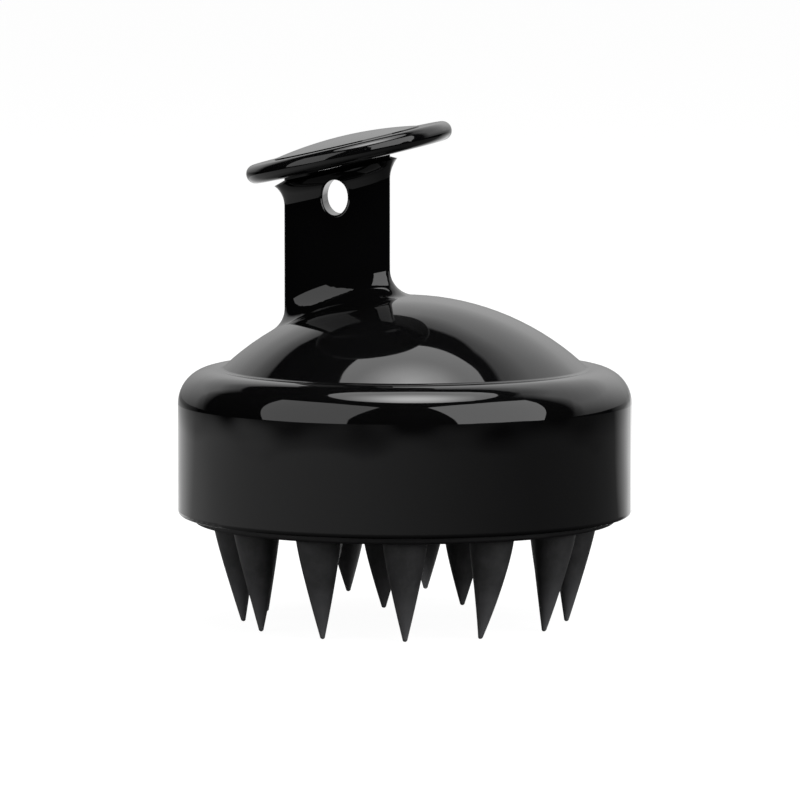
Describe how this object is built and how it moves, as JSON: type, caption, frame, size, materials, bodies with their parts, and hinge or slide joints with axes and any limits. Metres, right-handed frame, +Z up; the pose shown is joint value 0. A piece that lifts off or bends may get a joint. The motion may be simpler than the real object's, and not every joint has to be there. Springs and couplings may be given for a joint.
{
  "type": "scalp massager brush",
  "caption": "Round hand-held scalp massager with a domed gloss body, blade neck, tilted finger disc and flexible silicone cone teeth in two rings.",
  "frame": {"origin": "on the axis of the round body, on the plane where the tips of the outer teeth stand", "axes": "+Z up along the body's axis, from the teeth towards the grip disc; X along the blade of the neck, the neck stands towards -X and the grip disc rises towards +X; Y across the blade"},
  "size_m": [0.08, 0.08, 0.0884],
  "materials": {
    "gloss_shell": "mirror-gloss moulded black ABS",
    "gloss_grip": "mirror-gloss moulded black ABS",
    "gloss_cover": "mirror-gloss moulded black ABS",
    "screw_steel": "zinc-plated steel",
    "carrier_plastic": "matt moulded polypropylene",
    "silicone_pad": "matt moulded silicone rubber",
    "silicone_teeth": "matt moulded silicone rubber"
  },
  "bodies": {
    "brush_body": {"body_shell": "gloss_shell", "grip_plate": "gloss_grip", "grip_cover": "gloss_cover", "grip_screws": "screw_steel", "carrier_plate": "carrier_plastic", "carrier_screws": "screw_steel", "bristle_pad": "silicone_pad"},
    "tooth_outer_01": {"tooth_outer_01": "silicone_teeth"},
    "tooth_outer_02": {"tooth_outer_02": "silicone_teeth"},
    "tooth_outer_03": {"tooth_outer_03": "silicone_teeth"},
    "tooth_outer_04": {"tooth_outer_04": "silicone_teeth"},
    "tooth_outer_05": {"tooth_outer_05": "silicone_teeth"},
    "tooth_outer_06": {"tooth_outer_06": "silicone_teeth"},
    "tooth_outer_07": {"tooth_outer_07": "silicone_teeth"},
    "tooth_outer_08": {"tooth_outer_08": "silicone_teeth"},
    "tooth_outer_09": {"tooth_outer_09": "silicone_teeth"},
    "tooth_outer_10": {"tooth_outer_10": "silicone_teeth"},
    "tooth_outer_11": {"tooth_outer_11": "silicone_teeth"},
    "tooth_outer_12": {"tooth_outer_12": "silicone_teeth"},
    "tooth_inner_01": {"tooth_inner_01": "silicone_teeth"},
    "tooth_inner_02": {"tooth_inner_02": "silicone_teeth"},
    "tooth_inner_03": {"tooth_inner_03": "silicone_teeth"},
    "tooth_inner_04": {"tooth_inner_04": "silicone_teeth"},
    "tooth_inner_05": {"tooth_inner_05": "silicone_teeth"},
    "tooth_inner_06": {"tooth_inner_06": "silicone_teeth"},
    "tooth_centre": {"tooth_centre": "silicone_teeth"}
  },
  "joints": [
    {"name": "tooth_outer_01_flex", "type": "hinge", "parent": "brush_body", "child": "tooth_outer_01", "pos_m": [0.00443, -0.02967, 0.01785], "axis": [-0.989, -0.1478, 0], "range_deg": [-12, 12], "stiffness_Nm_per_rad": 0.03},
    {"name": "tooth_outer_02_flex", "type": "hinge", "parent": "brush_body", "child": "tooth_outer_02", "pos_m": [0.01868, -0.02348, 0.01785], "axis": [-0.7826, -0.6225, 0], "range_deg": [-12, 12], "stiffness_Nm_per_rad": 0.03},
    {"name": "tooth_outer_03_flex", "type": "hinge", "parent": "brush_body", "child": "tooth_outer_03", "pos_m": [0.02791, -0.011, 0.01785], "axis": [-0.3665, -0.9304, 0], "range_deg": [-12, 12], "stiffness_Nm_per_rad": 0.03},
    {"name": "tooth_outer_04_flex", "type": "hinge", "parent": "brush_body", "child": "tooth_outer_04", "pos_m": [0.02967, 0.00443, 0.01785], "axis": [0.1478, -0.989, 0], "range_deg": [-12, 12], "stiffness_Nm_per_rad": 0.03},
    {"name": "tooth_outer_05_flex", "type": "hinge", "parent": "brush_body", "child": "tooth_outer_05", "pos_m": [0.02348, 0.01868, 0.01785], "axis": [0.6225, -0.7826, 0], "range_deg": [-12, 12], "stiffness_Nm_per_rad": 0.03},
    {"name": "tooth_outer_06_flex", "type": "hinge", "parent": "brush_body", "child": "tooth_outer_06", "pos_m": [0.011, 0.02791, 0.01785], "axis": [0.9304, -0.3665, 0], "range_deg": [-12, 12], "stiffness_Nm_per_rad": 0.03},
    {"name": "tooth_outer_07_flex", "type": "hinge", "parent": "brush_body", "child": "tooth_outer_07", "pos_m": [-0.00443, 0.02967, 0.01785], "axis": [0.989, 0.1478, 0], "range_deg": [-12, 12], "stiffness_Nm_per_rad": 0.03},
    {"name": "tooth_outer_08_flex", "type": "hinge", "parent": "brush_body", "child": "tooth_outer_08", "pos_m": [-0.01868, 0.02348, 0.01785], "axis": [0.7826, 0.6225, 0], "range_deg": [-12, 12], "stiffness_Nm_per_rad": 0.03},
    {"name": "tooth_outer_09_flex", "type": "hinge", "parent": "brush_body", "child": "tooth_outer_09", "pos_m": [-0.02791, 0.011, 0.01785], "axis": [0.3665, 0.9304, 0], "range_deg": [-12, 12], "stiffness_Nm_per_rad": 0.03},
    {"name": "tooth_outer_10_flex", "type": "hinge", "parent": "brush_body", "child": "tooth_outer_10", "pos_m": [-0.02967, -0.00443, 0.01785], "axis": [-0.1478, 0.989, 0], "range_deg": [-12, 12], "stiffness_Nm_per_rad": 0.03},
    {"name": "tooth_outer_11_flex", "type": "hinge", "parent": "brush_body", "child": "tooth_outer_11", "pos_m": [-0.02348, -0.01868, 0.01785], "axis": [-0.6225, 0.7826, 0], "range_deg": [-12, 12], "stiffness_Nm_per_rad": 0.03},
    {"name": "tooth_outer_12_flex", "type": "hinge", "parent": "brush_body", "child": "tooth_outer_12", "pos_m": [-0.011, -0.02791, 0.01785], "axis": [-0.9304, 0.3665, 0], "range_deg": [-12, 12], "stiffness_Nm_per_rad": 0.03},
    {"name": "tooth_inner_01_flex", "type": "hinge", "parent": "brush_body", "child": "tooth_inner_01", "pos_m": [-0.00166, -0.01461, 0.01785], "axis": [-0.9936, 0.1132, 0], "range_deg": [-12, 12], "stiffness_Nm_per_rad": 0.03},
    {"name": "tooth_inner_02_flex", "type": "hinge", "parent": "brush_body", "child": "tooth_inner_02", "pos_m": [0.01182, -0.00874, 0.01785], "axis": [-0.5948, -0.8039, 0], "range_deg": [-12, 12], "stiffness_Nm_per_rad": 0.03},
    {"name": "tooth_inner_03_flex", "type": "hinge", "parent": "brush_body", "child": "tooth_inner_03", "pos_m": [0.01348, 0.00586, 0.01785], "axis": [0.3987, -0.9171, 0], "range_deg": [-12, 12], "stiffness_Nm_per_rad": 0.03},
    {"name": "tooth_inner_04_flex", "type": "hinge", "parent": "brush_body", "child": "tooth_inner_04", "pos_m": [0.00166, 0.01461, 0.01785], "axis": [0.9936, -0.1132, 0], "range_deg": [-12, 12], "stiffness_Nm_per_rad": 0.03},
    {"name": "tooth_inner_05_flex", "type": "hinge", "parent": "brush_body", "child": "tooth_inner_05", "pos_m": [-0.01182, 0.00874, 0.01785], "axis": [0.5948, 0.8039, 0], "range_deg": [-12, 12], "stiffness_Nm_per_rad": 0.03},
    {"name": "tooth_inner_06_flex", "type": "hinge", "parent": "brush_body", "child": "tooth_inner_06", "pos_m": [-0.01348, -0.00586, 0.01785], "axis": [-0.3987, 0.9171, 0], "range_deg": [-12, 12], "stiffness_Nm_per_rad": 0.03},
    {"name": "tooth_centre_flex", "type": "hinge", "parent": "brush_body", "child": "tooth_centre", "pos_m": [0, 0, 0.01785], "axis": [0, -1, 0], "range_deg": [-12, 12], "stiffness_Nm_per_rad": 0.03}
  ]
}
